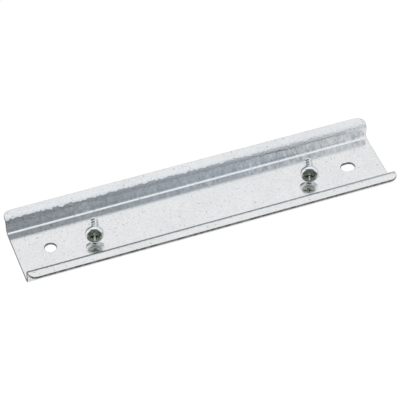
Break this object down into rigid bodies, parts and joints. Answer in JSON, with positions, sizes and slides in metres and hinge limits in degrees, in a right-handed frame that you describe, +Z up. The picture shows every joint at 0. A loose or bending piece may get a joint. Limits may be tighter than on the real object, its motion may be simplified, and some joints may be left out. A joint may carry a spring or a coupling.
{
  "type": "din rail",
  "caption": "Short 35 mm top-hat mounting rail in galvanised sheet steel, with a round hole, a slot and loose pan-head fixing screws lying in its channel.",
  "frame": {"origin": "middle of the resting face, under the centre of the rail", "axes": "+X along the rail towards its slotted end, +Y across it, +Z up out of the channel"},
  "size_m": [0.145, 0.035, 0.0081],
  "materials": {
    "galvanised_sheet": "bright galvanised, finely speckled, with brighter rolled bends",
    "zinc_screw": "bright zinc plate"
  },
  "bodies": {
    "root": {"rail": "galvanised_sheet", "screw_left": "zinc_screw", "screw_right": "zinc_screw"}
  },
  "joints": []
}
